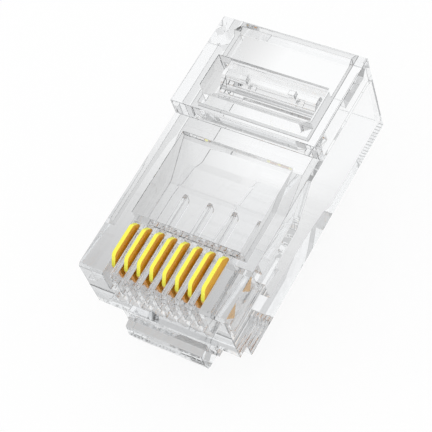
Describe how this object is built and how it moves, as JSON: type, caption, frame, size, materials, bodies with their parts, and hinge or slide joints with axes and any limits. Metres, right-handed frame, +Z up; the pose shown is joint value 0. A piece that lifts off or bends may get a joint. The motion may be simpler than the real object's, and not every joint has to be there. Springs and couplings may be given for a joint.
{
  "type": "rj45 modular plug",
  "caption": "Clear modular cable plug, not yet crimped: housing with sprung latch, gold-plated contact blades, jacket clamp and an open rear for a round data cable.",
  "frame": {"origin": "centre of the nose face, midway across the width and midway up the nose block", "axes": "+Y back along the plug to the cable, +Z up to the contacts, +X across the contacts"},
  "size_m": [0.0116, 0.0225, 0.0113],
  "materials": {
    "clear_plastic": "clear polished moulding",
    "gold_plate": "bright plating"
  },
  "bodies": {
    "housing": {"housing": "clear_plastic"},
    "latch": {"latch": "clear_plastic"},
    "jacket_clamp": {"jacket_clamp": "clear_plastic"},
    "contact_1": {"contact_1": "gold_plate"},
    "contact_2": {"contact_2": "gold_plate"},
    "contact_3": {"contact_3": "gold_plate"},
    "contact_4": {"contact_4": "gold_plate"},
    "contact_5": {"contact_5": "gold_plate"},
    "contact_6": {"contact_6": "gold_plate"},
    "contact_7": {"contact_7": "gold_plate"},
    "contact_8": {"contact_8": "gold_plate"}
  },
  "joints": [
    {"name": "latch_press", "type": "hinge", "parent": "housing", "child": "latch", "pos_m": [0, 0, -0.00325], "axis": [1, 0, 0], "range_deg": [0, 9.2], "stiffness_Nm_per_rad": 0.12},
    {"name": "clamp_turn", "type": "hinge", "parent": "housing", "child": "jacket_clamp", "pos_m": [0, 0.01626, 0.0029], "axis": [-1, 0, 0], "range_deg": [0, 38]},
    {"name": "contact_1_crimp", "type": "slide", "parent": "housing", "child": "contact_1", "axis": [0, 0, -1], "range_m": [0, 0.00103]},
    {"name": "contact_2_crimp", "type": "slide", "parent": "housing", "child": "contact_2", "axis": [0, 0, -1], "range_m": [0, 0.00103]},
    {"name": "contact_3_crimp", "type": "slide", "parent": "housing", "child": "contact_3", "axis": [0, 0, -1], "range_m": [0, 0.00103]},
    {"name": "contact_4_crimp", "type": "slide", "parent": "housing", "child": "contact_4", "axis": [0, 0, -1], "range_m": [0, 0.00103]},
    {"name": "contact_5_crimp", "type": "slide", "parent": "housing", "child": "contact_5", "axis": [0, 0, -1], "range_m": [0, 0.00103]},
    {"name": "contact_6_crimp", "type": "slide", "parent": "housing", "child": "contact_6", "axis": [0, 0, -1], "range_m": [0, 0.00103]},
    {"name": "contact_7_crimp", "type": "slide", "parent": "housing", "child": "contact_7", "axis": [0, 0, -1], "range_m": [0, 0.00103]},
    {"name": "contact_8_crimp", "type": "slide", "parent": "housing", "child": "contact_8", "axis": [0, 0, -1], "range_m": [0, 0.00103]}
  ]
}
